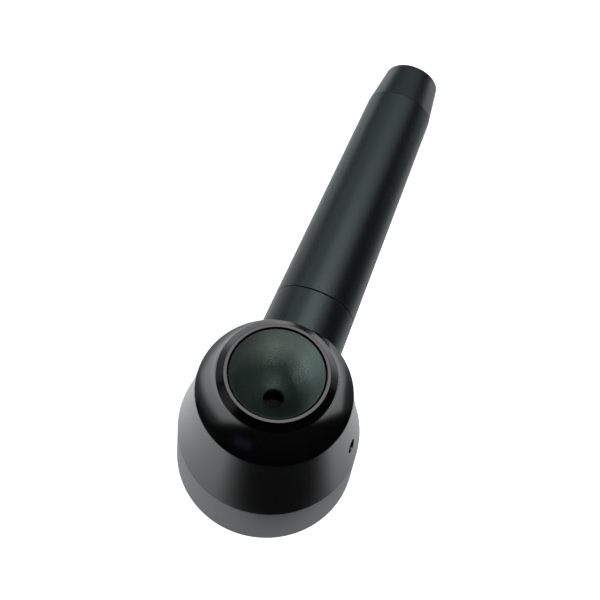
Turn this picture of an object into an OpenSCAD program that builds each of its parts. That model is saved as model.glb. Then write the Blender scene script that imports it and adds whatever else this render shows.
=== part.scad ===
// Hand-held lit ring-cone eye instrument: a bell-shaped head with a peephole eye cup on top,
// a ring cone in its wide lower mouth, and a battery handle that leaves the side of the bell.
// The head axis is +Z and the handle runs along +Y. The base ring stands on z = 0.

/* [Base ring] */
// Outside diameter of the base ring at its foot
base_d = 70; // [66:1:78]
// Height of the base ring above the table
base_h = 29.2; // [27:0.2:34]
// Wall of the base ring
base_wall = 6; // [4.5:0.1:6.5]
// Width of the inner lip that carries the ring cone
lip_w = 1.7; // [1.2:0.1:2.5]
// Thickness of that lip
lip_t = 2; // [1.5:0.1:3]
// Wall of the screwed spigot that enters the bell
spigot_wall = 1.5; // [1.2:0.1:2]
// Length of the screwed spigot
spigot_l = 5; // [4:0.1:6]
// Taper of the base ring: how much smaller its radius is at the top
base_taper = 0.4; // [0.2:0.1:1]
// Bevel on the edges of the base ring
base_bevel = 0.45; // [0.2:0.05:0.8]

/* [Bell] */
// Height of the flared skirt, from the base seam to the sharp shoulder
bell_h = 33.7; // [32:0.1:38]
// Hollow of the skirt below a straight cone
skirt_sag = 0.45; // [0.2:0.05:0.8]
// Diameter of the sharp shoulder
shoulder_d = 57; // [55:0.5:60]
// Height of the hollow cove above the shoulder
cove_h = 13.7; // [12.5:0.1:16]
// Radius of the hollow cove
cove_r = 23; // [18:1:60]
// Bore that takes the optic carrier
bell_bore_d = 52.2; // [50:0.2:53]
// Height of the carrier's seat above the base seam
carrier_up = 15; // [14:0.1:17]
// Bore above the carrier's seat
upper_bore_d = 48; // [44:0.5:49]
// Thickness of the ledge under the eye cup's flange
ledge_t = 3; // [2.5:0.1:4]
// Step from the cup's outside in to the bore of that ledge
ledge_w = 0.6; // [0.4:0.1:1.2]

/* [Eyepiece] */
// Height of the bevelled eyepiece ring above the cove
bevel_h = 2.4; // [1.8:0.1:3]
// Height of the ring's plain edge under the bevel
ring_edge_h = 0.3; // [0.2:0.05:0.6]
// Width of the ring's bevel, across the radius
bevel_w = 2.7; // [2:0.1:3.6]
// Width of the flat land round the cup
land_w = 1.05; // [0.7:0.05:1.5]
// Diameter of the eye cup at its rim
cup_rim_d = 33.6; // [31:0.1:37]
// Dark gap between the cup and the eyepiece ring
cup_gap = 0.85; // [0.4:0.05:1]
// Depth of the eye cup from the rim to the peephole
cup_depth = 23.1; // [21:0.1:24]
// Sag of the cup's wall below a straight funnel
cup_sag = 2; // [1:0.1:2.4]
// Diameter of the peephole
peephole_d = 7.4; // [5:0.1:8.5]
// Floor of the cup round the peephole
cup_floor = 1; // [0.8:0.1:1.6]
// Width of the boss round the peephole, under the cup
cup_boss_w = 4.3; // [3:0.1:5]
// Bevel on the rim of the cup
cup_rim_bevel = 0.35; // [0.2:0.05:0.6]
// Thickness of the cup's clamped flange
cup_flange_t = 2; // [1.5:0.1:2.5]
// Wall of the eyepiece ring's screwed spigot
ring_spigot_wall = 1.9; // [1.5:0.1:2.1]
// Length of that spigot
ring_spigot_l = 6.6; // [5.5:0.1:7.5]

/* [Optics] */
// Thickness of the optic carrier
carrier_t = 7.5; // [6.5:0.1:8.5]
// Diameter of the eyepiece lens
lens_d = 16; // [13:0.5:17]
// Edge thickness of the lens
lens_edge = 1.5; // [1.2:0.1:2]
// Height of the lens crown above its edge
lens_crown = 2; // [1.2:0.1:2.2]
// Wall of the lens cell
cell_wall = 1.9; // [1.5:0.1:2.4]
// Width of the seat under the lens
lens_seat_w = 1.5; // [1:0.1:2]
// Depth of the lens seat below the top of the lens cell
lens_seat_h = 6.6; // [6.2:0.1:8]
// Radial play of the lens in its cell
lens_play = 0.1; // [0.05:0.05:0.2]
// Width of the lens cell's flange
cell_flange_w = 2; // [1.5:0.1:3]
// Thickness of the lens cell's flange
cell_flange_t = 1.5; // [1:0.1:2]
// Height of the lens retaining ring
retainer_h = 2; // [1.5:0.1:2.5]

/* [Ring cone] */
// Wall of the ring cone, measured across the radius
cone_wall = 2.4; // [2:0.1:3]
// Height of the plain flange at the foot of the cone
cone_flange_t = 2; // [1.5:0.1:3]
// Step from the lip's bore in to the cone's inner face
cone_step = 0.6; // [0.3:0.1:1]
// Diameter of the sight hole at the top of the cone
cone_top_d = 10; // [8:0.5:12]
// Outside diameter of the collar at the top of the cone
cone_collar_d = 23; // [21:0.5:24]
// Height of that collar
cone_collar_h = 3.5; // [3:0.1:4.5]
// Radial play of the cone's foot in the base ring
cone_play = 0.2; // [0.1:0.05:0.3]
// Number of dark target rings on the inside of the cone
band_count = 6; // [4:1:8]
// Share of each ring step that the dark ring takes
band_share = 0.5; // [0.35:0.05:0.6]
// Plain share of a ring step below the first ring and above the last
band_lead = 0.5; // [0.3:0.1:0.6]
// Depth of the dark rings in the cone's inner face
band_t = 0.4; // [0.3:0.05:0.6]

/* [Lamps] */
// Inside diameter of the lamp board
board_in_d = 26; // [25:0.5:28]
// Outside diameter of the lamp board
board_out_d = 48; // [46:0.5:49]
// Thickness of the lamp board
board_t = 1.6; // [1:0.2:2]
// Number of lamps
lamp_count = 12; // [6:1:16]
// Side of a lamp's square base
lamp_w = 3; // [2.5:0.1:3.4]
// Height of a lamp's square base
lamp_h = 1; // [0.8:0.1:1.4]
// Diameter of the dome on a lamp
lamp_dome_d = 2.4; // [2:0.1:2.5]
// Circle on which the lamps stand
lamp_circle_d = 41; // [39:0.5:42]
// Number of board screws
screw_count = 3; // [2:1:4]
// Turn of the first board screw from the side of the grub screw
screw_turn = 30; // [20:5:45]
// Circle on which the board screws stand
screw_circle_d = 31; // [30.5:0.1:32]
// Shank diameter of a board screw
screw_d = 2; // [1.6:0.1:2.2]
// Length of a board screw's shank
screw_l = 6; // [5:0.5:7]
// Head diameter of a board screw
screw_head_d = 3.6; // [3:0.1:4]
// Head height of a board screw
screw_head_h = 1.4; // [1.2:0.1:1.8]
// Width across the corners of a board screw's socket
screw_socket_d = 1.5; // [1.2:0.1:1.8]
// Depth of that socket
screw_socket_t = 0.7; // [0.5:0.1:1]

/* [Grub screw] */
// Diameter of the grub screw in the side of the bell
grub_d = 5.5; // [3:0.5:6]
// Depth of the grub screw below the surface
grub_recess = 0.9; // [0.5:0.1:1.5]
// Distance across the flats of its hexagon socket
grub_socket = 2.5; // [1.5:0.1:2.6]
// Depth of the hexagon socket
grub_socket_t = 2; // [1.5:0.1:2.5]

/* [Neck] */
// Height of the handle axis above the base seam
handle_up = 19; // [17.5:0.1:20]
// Distance of the handle seam from the head axis
seam_y = 43.1; // [42:0.1:48]
// Diameter of the handle at the seam
seam_d = 31.6; // [30.5:0.1:32]
// Diameter of the spigot that joins the neck to the bell
neck_spigot_d = 18; // [16:0.5:20]
// Bore that leads the wires through the neck
wire_bore_d = 12; // [9:0.5:13]
// Bore of the neck that takes the front contact and the first cell
neck_bore_d = 19; // [17:0.5:20]
// Diameter of the journal on which the handle turns
journal_d = 24.8; // [24:0.1:25.4]
// Length of that journal
journal_l = 14; // [13:0.1:16]
// Depth of the front contact's seat behind the seam
contact_seat = 2.1; // [1.5:0.1:3]
// Thickness of the front contact's carrier
contact_t = 4; // [3:0.1:4.4]
// Diameter of the front contact pin
pin_d = 3.9; // [3:0.1:4.5]
// Diameter of that pin's tip, which meets the first cell
pin_tip_d = 3; // [2.4:0.1:3]
// Length of the pin behind its carrier
pin_back = 1.5; // [1:0.1:2]
// Thickness of the switch track on the end of the journal
track_t = 1; // [0.6:0.1:1.4]
// Margin of the switch track from the edges of the journal's end
track_edge = 0.3; // [0.2:0.05:0.5]
// Thickness of the wiper ring
wiper_t = 0.5; // [0.4:0.05:0.8]
// Margin of the wiper ring from the edges of the journal's end
wiper_edge = 0.7; // [0.6:0.05:0.9]
// Width of the snap ring that holds the handle on
snap_w = 1.2; // [1:0.1:1.5]
// Depth of the snap ring's groove in the journal
snap_depth = 1.2; // [1:0.1:1.4]
// Height of the snap ring above the journal
snap_proud = 0.7; // [0.5:0.05:0.8]
// Distance of the snap ring from the end of the journal
snap_edge = 1.2; // [1:0.1:1.5]
// Angle of the snap ring's gap
snap_gap_angle = 40; // [20:5:60]
// Play of the snap ring in the barrel's slot
snap_play = 0.15; // [0.1:0.05:0.2]
// Diameter of the wires
wire_d = 1.2; // [0.8:0.1:1.6]
// Radial play of the wires in the carrier's holes
wire_play = 0.3; // [0.1:0.05:0.4]
// Distance of the wire drop from the head axis
wire_drop_y = 17.5; // [16.5:0.1:19]
// Sideways distance of the return wire from the feed wire
wire_pitch = 3.5; // [2.5:0.1:4]

/* [Handle] */
// Length of the barrel
barrel_l = 98.4; // [98:0.1:106]
// Diameter of the barrel at the tail cap
barrel_end_d = 26.6; // [26:0.1:28]
// Length of the tail cap
tail_l = 17.6; // [17:0.1:22]
// Diameter of the tail cap at its end
tail_end_d = 21.9; // [20.5:0.1:24]
// Radius on the edge of the tail cap
tail_round = 0.9; // [0.4:0.1:1.5]
// Bevel on the edges beside the seams
seam_bevel = 0.3; // [0.1:0.05:0.5]
// Bore of the barrel
barrel_bore_d = 23.8; // [23.2:0.1:24]
// Wall of the barrel between the two flanges of the cell sleeve
barrel_wall = 1.8; // [1.4:0.1:2.4]
// Length of the barrel's bore beside each flange of the cell sleeve
barrel_seat_l = 4; // [3.5:0.1:6]
// Length of the screwed joint between barrel and tail cap
thread_l = 13.5; // [12:0.1:15]
// Diameter of the screwed joint
thread_d = 22.1; // [21:0.1:22.4]
// Length of the tail cap's screwed spigot
cap_spigot_l = 10.5; // [9:0.1:11.5]
// Bore of the tail cap
cap_bore_d = 18; // [17.6:0.1:18.4]
// Thickness of the tail cap's end
cap_end_t = 4.6; // [3:0.1:5]

/* [Cells] */
// Diameter of a cell
cell_d = 14.5; // [14:0.1:14.6]
// Length of a cell with its button
cell_l = 50.5; // [50:0.1:50.6]
// Diameter of a cell's button
button_d = 5.5; // [5:0.1:6]
// Height of a cell's button
button_h = 1; // [0.8:0.1:1.2]
// Distance of the first cell's button from the handle seam
cell_start = 3.9; // [3.6:0.1:4.2]
// Radial play of the cells in their sleeve
cell_play = 0.15; // [0.1:0.05:0.3]
// Wall of the cell sleeve
sleeve_wall = 1.2; // [1:0.1:1.3]
// Thickness of the sleeve's two flanges
sleeve_flange_t = 2.5; // [2:0.1:3]
// Wire diameter of the tail spring
spring_wire_d = 0.9; // [0.6:0.1:1]
// Mean diameter of the tail spring
spring_d = 11; // [9:0.5:12]
// Least room that the tail spring needs
spring_room = 4; // [3:0.5:5]
// Turns of the tail spring
spring_turns = 3; // [2.5:0.5:3]
// Thickness of the tail contact disc
disc_t = 1; // [0.8:0.1:1.2]
// Diameter of the tail contact disc
disc_d = 15; // [13:0.5:16]

/* [Seals and fits] */
// Cross-section diameter of the round seals
seal_d = 1.2; // [1:0.1:1.3]
// Play on each side of a seal in its groove
groove_side_play = 0.1; // [0.05:0.05:0.2]
// Play under the seals and the snap ring in their grooves
groove_play = 0.05; // [0.03:0.01:0.1]
// Distance of the handle's seal from the seam
twist_seal_in = 4; // [3:0.1:5]
// Distance of the tail cap's seal from its seam
tail_seal_in = 3; // [2:0.1:4]
// Radial play of fixed fits and screwed joints
fixed_play = 0.05; // [0.03:0.01:0.1]
// Radial play between the turning pieces
turn_play = 0.05; // [0.03:0.01:0.09]
// Gap between faces that turn past each other
face_gap = 0.12; // [0.1:0.02:0.3]

/* [Hidden] */
$fn = 96;
// Overrun of a cut past the face that it opens
cut_over = 1;
// Length by which the journal and the spigot are rooted in the neck
root_l = 1;

// Heights of the head, from the table up
shoulder_z = base_h + bell_h;
cove_top_z = shoulder_z + cove_h;
bevel_z = cove_top_z + ring_edge_h;
top_z = bevel_z + bevel_h;
handle_z = base_h + handle_up;
carrier_top_z = base_h + carrier_up;
carrier_z = carrier_top_z - carrier_t;
grub_z = carrier_z + carrier_t / 2;
spigot_top_z = base_h + spigot_l;
counterbore_z = spigot_top_z + fixed_play;
cup_ledge_z = cove_top_z - ring_spigot_l - cup_flange_t;
peephole_z = top_z - cup_depth;
cup_bottom_z = peephole_z - cup_floor;
cell_top_z = cup_bottom_z - face_gap;
lens_z = cell_top_z - lens_seat_h;
board_z = carrier_z - board_t;

// Radii of the head
base_r = base_d / 2;
base_top_r = base_r - base_taper;
base_in_r = base_r - base_wall;
lip_r = base_in_r - lip_w;
spigot_r = base_in_r + spigot_wall;
shoulder_r = shoulder_d / 2;
bell_bore_r = bell_bore_d / 2;
upper_bore_r = upper_bore_d / 2;
cup_rim_r = cup_rim_d / 2;
ring_bore_r = cup_rim_r + cup_gap;
land_r = ring_bore_r + land_w;
cove_top_r = land_r + bevel_w;
ring_spigot_r = ring_bore_r + ring_spigot_wall;
cup_seat_r = ring_spigot_r + fixed_play;
cup_ledge_r = cup_rim_r - ledge_w;
peephole_r = peephole_d / 2;
cup_boss_r = peephole_r + cup_boss_w;
cup_bowl_r = cup_rim_r - cup_rim_bevel;
lens_r = lens_d / 2;
cell_in_r = lens_r + lens_play;
cell_r = cell_in_r + cell_wall;
cell_low_r = lens_r - lens_seat_w;
lens_ball_r = (lens_r * lens_r + lens_crown * lens_crown) / (2 * lens_crown);

// Ring cone: a straight inner line from the lip to the sight hole
cone_foot_r = base_in_r - cone_play;
cone_in_r = lip_r - cone_step;
cone_top_r = cone_top_d / 2;
cone_collar_r = cone_collar_d / 2;
cone_top_z = carrier_z;
band_step = 1 / (band_count + band_lead);

// Handle: distances from the head axis along the handle, and radii
seam_r = seam_d / 2;
barrel_y = seam_y + face_gap;
barrel_end_y = seam_y + barrel_l;
cap_y = barrel_end_y + face_gap;
tail_end_y = barrel_end_y + tail_l;
barrel_end_r = barrel_end_d / 2;
tail_end_r = tail_end_d / 2;
taper = (seam_r - barrel_end_r) / barrel_l;
neck_foot_r = seam_r + taper * seam_y;
journal_r = journal_d / 2;
journal_end_y = seam_y + journal_l;
journal_bore_r = journal_r + turn_play;
track_end_y = journal_end_y + track_t;
wiper_y = track_end_y + face_gap;
sleeve_y = wiper_y + wiper_t;
neck_bore_r = neck_bore_d / 2;
contact_y = seam_y - contact_seat;
pin_r = pin_d / 2;
cell_y = seam_y + cell_start;
cell_body_r = cell_d / 2;
barrel_bore_r = barrel_bore_d / 2;
thread_r = thread_d / 2;
thread_y = barrel_end_y - thread_l;
cap_spigot_r = thread_r - turn_play;
cap_spigot_y = cap_y - cap_spigot_l;
cap_bore_r = cap_bore_d / 2;
cap_floor_y = tail_end_y - cap_end_t;
disc_y = cap_floor_y - face_gap - disc_t;
cell_count = floor((disc_y - spring_room - cell_y) / cell_l);
cells_end_y = cell_y + cell_count * cell_l;
sleeve_in_r = cell_body_r + cell_play;
sleeve_r = sleeve_in_r + sleeve_wall;
sleeve_end_y = cap_spigot_y + cap_spigot_l / 2;
flange_r = barrel_bore_r - fixed_play;

// Grooves for seals and the snap ring
seal_r = seal_d / 2;
groove_w = seal_d + 2 * groove_side_play;
snap_y = journal_end_y - snap_edge - snap_w;
snap_in_r = journal_r - snap_depth;
snap_out_r = journal_r + snap_proud;
snap_slot_r = snap_out_r + snap_play;
twist_seal_y = seam_y + twist_seal_in;
tail_seal_y = cap_y - tail_seal_in;
base_seal_z = base_h + spigot_l / 2;

// Outline helpers: a straight line, an arc that sags to the right of its chord, and the radius of the
// skirt, cone and barrel at a height; the hollow of the skirt is read as a parabola
arc_steps = 14;
skirt_steps = 6;
round_steps = 4;
function blend(a, b, t) = a + (b - a) * t;
function unit(v) = v / norm(v);
function arc_between(a, b, sag, steps = arc_steps) =
    let (half = norm(b - a) / 2,
         r = (half * half + sag * sag) / (2 * sag),
         side = unit([(b - a)[1], -(b - a)[0]]),
         centre = (a + b) / 2 + side * (sag - r),
         span = asin(half / r),
         start = atan2(side[1], side[0]))
    [for (i = [0:steps]) centre + r * [cos(start - span + 2 * span * i / steps),
                                      sin(start - span + 2 * span * i / steps)]];
function reverse(list) = [for (i = [len(list) - 1:-1:0]) list[i]];
function skirt_r(z) =
    let (t = (z - base_h) / bell_h) blend(base_top_r, shoulder_r, t) - 4 * skirt_sag * t * (1 - t);
function cone_r(z) = blend(cone_in_r, cone_top_r, (z - lip_t) / (cone_top_z - lip_t));
function barrel_r(y) = seam_r - taper * (y - seam_y);
function relief_r(y) = max(barrel_r(y) - barrel_wall, barrel_bore_r + fixed_play);

// Sag of the cove's arc, worked out from its radius
cove_chord = norm([shoulder_r - cove_top_r, cove_h]);
cove_sag = cove_r - sqrt(cove_r * cove_r - cove_chord * cove_chord / 4);

// Turns an outline of radius and height round the head axis
module head_turned(outline) {
    rotate_extrude() polygon(outline);
}

// Puts what is modelled along +Z onto the handle axis, with z as the distance from the head axis
module on_handle() {
    translate([0, 0, handle_z]) rotate([-90, 0, 0]) children();
}

// Turns an outline of radius and distance round the handle axis
module handle_turned(outline) {
    on_handle() rotate_extrude() polygon(outline);
}

// A plain round bar along the handle axis
module handle_bar(y0, y1, r) {
    on_handle() translate([0, 0, y0]) cylinder(h = y1 - y0, r = r);
}

// A flat ring round the handle axis
module handle_ring(y0, y1, r_out, r_in) {
    handle_turned([[r_in, y0], [r_out, y0], [r_out, y1], [r_in, y1]]);
}

// A round seal whose outside touches the radius r
module seal(r) {
    rotate_extrude() translate([r - seal_r, 0]) circle(r = seal_r, $fn = 32);
}

// The outside of the bell as one solid: skirt, shoulder and cove
module bell_outside() {
    cove = arc_between([cove_top_r, cove_top_z], [shoulder_r, shoulder_z], cove_sag);
    skirt = arc_between([shoulder_r, shoulder_z], [base_top_r, base_h], skirt_sag, skirt_steps);
    head_turned(concat([[0, cove_top_z]], cove, [for (i = [1:skirt_steps]) skirt[i]], [[0, base_h]]));
}

// The stepped hollow of the bell
module bell_hollow() {
    head_turned([
        [0, base_h - cut_over],
        [spigot_r + fixed_play, base_h - cut_over],
        [spigot_r + fixed_play, counterbore_z],
        [bell_bore_r, counterbore_z],
        [bell_bore_r, carrier_top_z],
        [upper_bore_r, carrier_top_z],
        [upper_bore_r, cup_bottom_z],
        [cup_ledge_r, cup_ledge_z - ledge_t],
        [cup_ledge_r, cup_ledge_z],
        [cup_seat_r, cup_ledge_z],
        [cup_seat_r, cove_top_z + cut_over],
        [0, cove_top_z + cut_over]
    ]);
}

// Places a child at each of the board screws
module at_board_screws() {
    for (i = [0:screw_count - 1])
        rotate(screw_turn + i * 360 / screw_count) translate([screw_circle_d / 2, 0, 0]) children();
}

// Places a child at each of the wires' drops
module at_wire_drops() {
    for (x = [0, wire_pitch]) translate([x, wire_drop_y, 0]) children();
}

module base_ring() {
    color("#5c5e60") difference() {
        head_turned([
            [lip_r, 0],
            [base_r - base_bevel, 0],
            [base_r, base_bevel],
            [base_top_r, base_h - base_bevel],
            [base_top_r - base_bevel, base_h],
            [spigot_r, base_h],
            [spigot_r, spigot_top_z],
            [base_in_r, spigot_top_z],
            [base_in_r, lip_t],
            [lip_r, lip_t]
        ]);
        translate([0, 0, base_seal_z - groove_w / 2]) difference() {
            cylinder(h = groove_w, r = spigot_r + cut_over);
            translate([0, 0, -cut_over])
                cylinder(h = groove_w + 2 * cut_over, r = spigot_r - seal_d - groove_play);
        }
    }
}

module bell_body() {
    color("#1d1f20") difference() {
        bell_outside();
        bell_hollow();
        handle_bar(0, base_r + cut_over, neck_spigot_d / 2 + fixed_play);
        translate([0, 0, grub_z]) rotate([0, 90, 0])
            cylinder(h = base_r + cut_over, d = grub_d + 2 * fixed_play);
    }
}

module eyepiece_ring() {
    color("#2a2c2e") head_turned([
        [ring_bore_r, cove_top_z - ring_spigot_l],
        [ring_spigot_r, cove_top_z - ring_spigot_l],
        [ring_spigot_r, cove_top_z],
        [cove_top_r, cove_top_z],
        [cove_top_r, bevel_z],
        [land_r, top_z],
        [ring_bore_r, top_z]
    ]);
}

module eye_cup() {
    bowl = arc_between([peephole_r, peephole_z], [cup_bowl_r, top_z], cup_sag);
    color("#25302d") head_turned(concat(
        reverse(bowl),
        [
            [peephole_r, cup_bottom_z],
            [cup_boss_r, cup_bottom_z],
            [cup_ledge_r - face_gap, cup_ledge_z],
            [ring_spigot_r, cup_ledge_z],
            [ring_spigot_r, cup_ledge_z + cup_flange_t],
            [cup_rim_r, cup_ledge_z + cup_flange_t],
            [cup_rim_r, top_z - cup_rim_bevel]
        ]
    ));
}

module lens_cell() {
    color("#303234") head_turned([
        [cell_low_r, carrier_z],
        [cell_r, carrier_z],
        [cell_r, carrier_top_z],
        [cell_r + cell_flange_w, carrier_top_z],
        [cell_r + cell_flange_w, carrier_top_z + cell_flange_t],
        [cell_r, carrier_top_z + cell_flange_t],
        [cell_r, cell_top_z],
        [cell_in_r, cell_top_z],
        [cell_in_r, lens_z],
        [cell_low_r, lens_z]
    ]);
}

module eyepiece_lens() {
    color("#cfe4ea", 0.5) intersection() {
        translate([0, 0, lens_z]) cylinder(h = lens_edge + lens_crown + cut_over, r = lens_r);
        translate([0, 0, lens_z + lens_edge + lens_crown - lens_ball_r]) sphere(r = lens_ball_r);
    }
}

module lens_retainer() {
    retainer_in_r = lens_r - lens_seat_w;
    drop = lens_ball_r - sqrt(lens_ball_r * lens_ball_r - retainer_in_r * retainer_in_r);
    retainer_z = lens_z + lens_edge + lens_crown - drop;
    retainer_r = cell_in_r - fixed_play;
    color("#3a3c3e") head_turned([
        [retainer_in_r, retainer_z],
        [retainer_r, retainer_z],
        [retainer_r, retainer_z + retainer_h],
        [retainer_in_r, retainer_z + retainer_h]
    ]);
}

module optic_carrier() {
    color("#8e9296") difference() {
        translate([0, 0, carrier_z]) cylinder(h = carrier_t, r = bell_bore_r - fixed_play);
        translate([0, 0, carrier_z - cut_over]) {
            cylinder(h = carrier_t + 2 * cut_over, r = cell_r + fixed_play);
            at_board_screws() cylinder(h = screw_l + cut_over, d = screw_d + fixed_play);
            at_wire_drops() cylinder(h = carrier_t + 2 * cut_over, d = wire_d + 2 * wire_play);
        }
    }
}

module lamp_board() {
    color("#1f5a3a") difference() {
        translate([0, 0, board_z]) cylinder(h = board_t, d = board_out_d);
        translate([0, 0, board_z - cut_over]) {
            cylinder(h = board_t + 2 * cut_over, d = board_in_d);
            at_board_screws() cylinder(h = board_t + 2 * cut_over, d = screw_d + fixed_play);
        }
    }
}

module lamps() {
    color("#f2e9b8") for (i = [0:lamp_count - 1]) {
        rotate((i + 0.5) * 360 / lamp_count) translate([lamp_circle_d / 2, 0, board_z - lamp_h]) {
            translate([-lamp_w / 2, -lamp_w / 2, 0]) cube([lamp_w, lamp_w, lamp_h]);
            intersection() {
                sphere(d = lamp_dome_d, $fn = 32);
                translate([0, 0, -lamp_dome_d]) cylinder(h = lamp_dome_d + lamp_h / 2, d = lamp_w);
            }
        }
    }
}

module board_screws() {
    color("#b9bcc0") at_board_screws() translate([0, 0, board_z]) {
        cylinder(h = screw_l, d = screw_d);
        difference() {
            translate([0, 0, -screw_head_h]) cylinder(h = screw_head_h, d = screw_head_d);
            translate([0, 0, -screw_head_h - cut_over])
                cylinder(h = screw_socket_t + cut_over, d = screw_socket_d, $fn = 6);
        }
    }
}

module ring_cone() {
    color("#eceff0") difference() {
        head_turned([
            [cone_r(lip_t), lip_t],
            [cone_foot_r, lip_t],
            [cone_foot_r, lip_t + cone_flange_t],
            [cone_r(cone_top_z - cone_collar_h) + cone_wall, cone_top_z - cone_collar_h],
            [cone_collar_r, cone_top_z - cone_collar_h],
            [cone_collar_r, cone_top_z],
            [cone_top_r, cone_top_z]
        ]);
        for (i = [0:band_count - 1]) band(i, cut_over);
    }
}

// One dark ring of the target: a strip of the cone's inner face, with extra reach into the hollow
module band(i, reach) {
    low = blend(lip_t, cone_top_z, (i + band_lead) * band_step);
    high = blend(lip_t, cone_top_z, (i + band_lead + band_share) * band_step);
    head_turned([
        [cone_r(low) - reach, low],
        [cone_r(low) + band_t, low],
        [cone_r(high) + band_t, high],
        [cone_r(high) - reach, high]
    ]);
}

module ring_bands() {
    color("#0c0c0d") for (i = [0:band_count - 1]) band(i, 0);
}

module grub_screw() {
    tip = bell_bore_r;
    length = skirt_r(grub_z) - tip - grub_recess;
    color("#4a4d50") translate([tip, 0, grub_z]) rotate([0, 90, 0]) difference() {
        cylinder(h = length, d = grub_d);
        translate([0, 0, length - grub_socket_t])
            cylinder(h = grub_socket_t + cut_over, d = grub_socket / cos(30), $fn = 6);
    }
}

module base_seal() {
    color("#141414") translate([0, 0, base_seal_z]) seal(spigot_r);
}

// A wire from the neck's contact to its drop, then down through the carrier to the lamp board
module wire(x, start_y) {
    level = max(handle_z, carrier_top_z + wire_d / 2 + face_gap);
    translate([x, wire_drop_y, level]) {
        rotate([-90, 0, 0]) cylinder(h = start_y - wire_drop_y, d = wire_d, $fn = 32);
        sphere(d = wire_d, $fn = 32);
    }
    translate([x, wire_drop_y, carrier_z]) cylinder(h = level - carrier_z, d = wire_d, $fn = 32);
}

module feed_wire() {
    color("#a32020") wire(0, contact_y - pin_back);
}

module return_wire() {
    color("#1a1a1a") wire(wire_pitch, contact_y);
}

module neck_collar() {
    color("#1d2221") difference() {
        union() {
            difference() {
                handle_turned([
                    [0, 0],
                    [neck_foot_r, 0],
                    [barrel_r(seam_y - seam_bevel), seam_y - seam_bevel],
                    [seam_r - seam_bevel, seam_y],
                    [0, seam_y]
                ]);
                bell_outside();
            }
            difference() {
                handle_bar(wire_drop_y, seam_y - root_l, neck_spigot_d / 2);
                bell_hollow();
                translate([0, 0, carrier_z]) cylinder(h = carrier_t, r = bell_bore_r);
            }
            handle_bar(seam_y - root_l, journal_end_y, journal_r);
        }
        handle_bar(0, seam_y, wire_bore_d / 2);
        handle_bar(contact_y, journal_end_y + cut_over, neck_bore_r);
        handle_ring(twist_seal_y - groove_w / 2, twist_seal_y + groove_w / 2,
                    journal_r + cut_over, journal_r - seal_d - groove_play);
        handle_ring(snap_y - groove_play, snap_y + snap_w + groove_play, journal_r + cut_over, snap_in_r);
    }
}

module snap_ring() {
    color("#9a9da1") difference() {
        handle_ring(snap_y, snap_y + snap_w, snap_out_r, snap_in_r + groove_play);
        on_handle() translate([0, 0, snap_y - cut_over]) rotate(-snap_gap_angle / 2)
            rotate_extrude(angle = snap_gap_angle) square([journal_d, snap_w + 2 * cut_over]);
    }
}

module twist_seal() {
    color("#141414") on_handle() translate([0, 0, twist_seal_y]) seal(journal_r);
}

module contact_carrier() {
    color("#d9d4c6") handle_ring(contact_y, contact_y + contact_t, neck_bore_r - fixed_play, pin_r);
}

module contact_pin() {
    flange_w = 1.2;
    flange_t = 0.8;
    color("#c9a24a") handle_turned([
        [0, contact_y - pin_back],
        [pin_r, contact_y - pin_back],
        [pin_r, contact_y + contact_t],
        [pin_r + flange_w, contact_y + contact_t],
        [pin_r + flange_w, contact_y + contact_t + flange_t],
        [pin_r, contact_y + contact_t + flange_t],
        [pin_tip_d / 2, cell_y - face_gap],
        [0, cell_y - face_gap]
    ]);
}

module switch_track() {
    color("#2f6b45")
        handle_ring(journal_end_y, track_end_y, journal_r - track_edge, neck_bore_r + track_edge);
}

module barrel() {
    color("#222927") handle_turned([
        [journal_bore_r, barrel_y],
        [seam_r - seam_bevel, barrel_y],
        [barrel_r(barrel_y + seam_bevel), barrel_y + seam_bevel],
        [barrel_r(barrel_end_y - seam_bevel), barrel_end_y - seam_bevel],
        [barrel_end_r - seam_bevel, barrel_end_y],
        [thread_r, barrel_end_y],
        [thread_r, thread_y],
        [barrel_bore_r, thread_y],
        [barrel_bore_r, thread_y - barrel_seat_l],
        [relief_r(thread_y - barrel_seat_l), thread_y - barrel_seat_l],
        [relief_r(sleeve_y + barrel_seat_l), sleeve_y + barrel_seat_l],
        [barrel_bore_r, sleeve_y + barrel_seat_l],
        [barrel_bore_r, sleeve_y + face_gap],
        [journal_bore_r, sleeve_y + face_gap],
        [journal_bore_r, snap_y + snap_w + snap_play],
        [snap_slot_r, snap_y + snap_w + snap_play],
        [snap_slot_r, snap_y - snap_play],
        [journal_bore_r, snap_y - snap_play]
    ]);
}

module cell_sleeve() {
    color("#3b3d3f") handle_turned([
        [sleeve_in_r, sleeve_y],
        [flange_r, sleeve_y],
        [flange_r, sleeve_y + sleeve_flange_t],
        [sleeve_r, sleeve_y + sleeve_flange_t],
        [sleeve_r, thread_y - sleeve_flange_t],
        [flange_r, thread_y - sleeve_flange_t],
        [flange_r, thread_y],
        [sleeve_r, thread_y],
        [sleeve_r, sleeve_end_y],
        [sleeve_in_r, sleeve_end_y]
    ]);
}

module cells() {
    color("#b8863a") for (i = [0:cell_count - 1]) {
        y = cell_y + i * cell_l;
        handle_turned([
            [0, y],
            [button_d / 2, y],
            [button_d / 2, y + button_h],
            [cell_body_r, y + button_h],
            [cell_body_r, y + cell_l - fixed_play],
            [0, y + cell_l - fixed_play]
        ]);
    }
}

module wiper_ring() {
    color("#c9a24a") handle_ring(wiper_y, sleeve_y, journal_r - wiper_edge, neck_bore_r + wiper_edge);
}

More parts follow.
